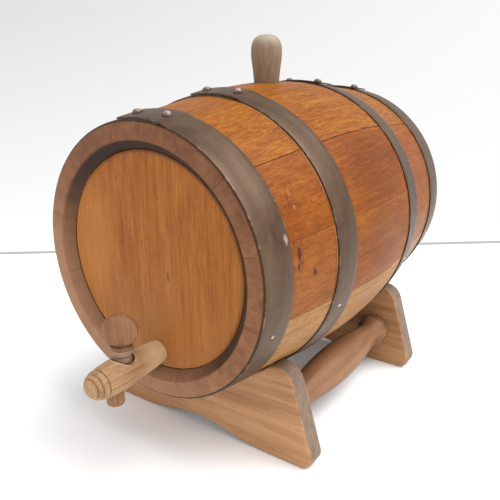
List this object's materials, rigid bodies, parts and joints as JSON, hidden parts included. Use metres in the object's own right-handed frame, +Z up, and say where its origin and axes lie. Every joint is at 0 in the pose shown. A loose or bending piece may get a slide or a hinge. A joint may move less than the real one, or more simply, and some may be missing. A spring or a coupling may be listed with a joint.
{
  "type": "wine barrel",
  "caption": "Small oak wine barrel with steel hoops, a bung and a wooden tap with a turning key, lying on a cradle of two saddles and two turned rails.",
  "frame": {"origin": "on the floor, under the middle of the whole object's box", "axes": "+Y along the barrel from the tapped end to the rear end, +Z up, +X to the right seen from the tap"},
  "size_m": [0.19, 0.2981, 0.256],
  "materials": {
    "oak_staves": "oiled",
    "oak_heads": "oiled",
    "dowel_wood": "plain",
    "hoop_steel": "dark satin",
    "rivet_steel": "satin",
    "nail_steel": "bright",
    "bung_wood": "plain",
    "tap_wood": "turned, plain",
    "key_wood": "turned, plain",
    "cradle_wood": "oiled"
  },
  "bodies": {
    "cradle": {"front_cross_piece": "cradle_wood", "rear_cross_piece": "cradle_wood", "left_rail": "cradle_wood", "right_rail": "cradle_wood"},
    "barrel": {"bung_stave": "oak_staves", "stave_02": "oak_staves", "stave_03": "oak_staves", "stave_04": "oak_staves", "stave_05": "oak_staves", "stave_06": "oak_staves", "stave_07": "oak_staves", "stave_08": "oak_staves", "stave_09": "oak_staves", "stave_10": "oak_staves", "stave_11": "oak_staves", "stave_12": "oak_staves", "front_head_left": "oak_heads", "front_head_middle": "oak_heads", "front_head_right": "oak_heads", "rear_head_left": "oak_heads", "rear_head_middle": "oak_heads", "rear_head_right": "oak_heads", "front_head_dowels": "dowel_wood", "rear_head_dowels": "dowel_wood", "front_chime_hoop": "hoop_steel", "front_bilge_hoop": "hoop_steel", "rear_bilge_hoop": "hoop_steel", "rear_chime_hoop": "hoop_steel", "front_chime_rivets": "rivet_steel", "front_bilge_rivets": "rivet_steel", "rear_bilge_rivets": "rivet_steel", "rear_chime_rivets": "rivet_steel", "hoop_nails": "nail_steel"},
    "bung": {"bung": "bung_wood"},
    "tap": {"tap_body": "tap_wood", "tap_spout": "tap_wood"},
    "key": {"tap_key": "key_wood"}
  },
  "joints": [
    {"name": "barrel_lift", "type": "slide", "parent": "cradle", "child": "barrel", "axis": [0, 0, 1], "range_m": [0, 0.1]},
    {"name": "bung_lift", "type": "slide", "parent": "barrel", "child": "bung", "axis": [0, 0, 1], "range_m": [0, 0.04]},
    {"name": "tap_draw", "type": "slide", "parent": "barrel", "child": "tap", "axis": [0, -1, 0], "range_m": [0, 0.035]},
    {"name": "key_turn", "type": "hinge", "parent": "tap", "child": "key", "pos_m": [0, -0.12355, 0.0725], "axis": [0, 0, 1], "continuous": true}
  ]
}
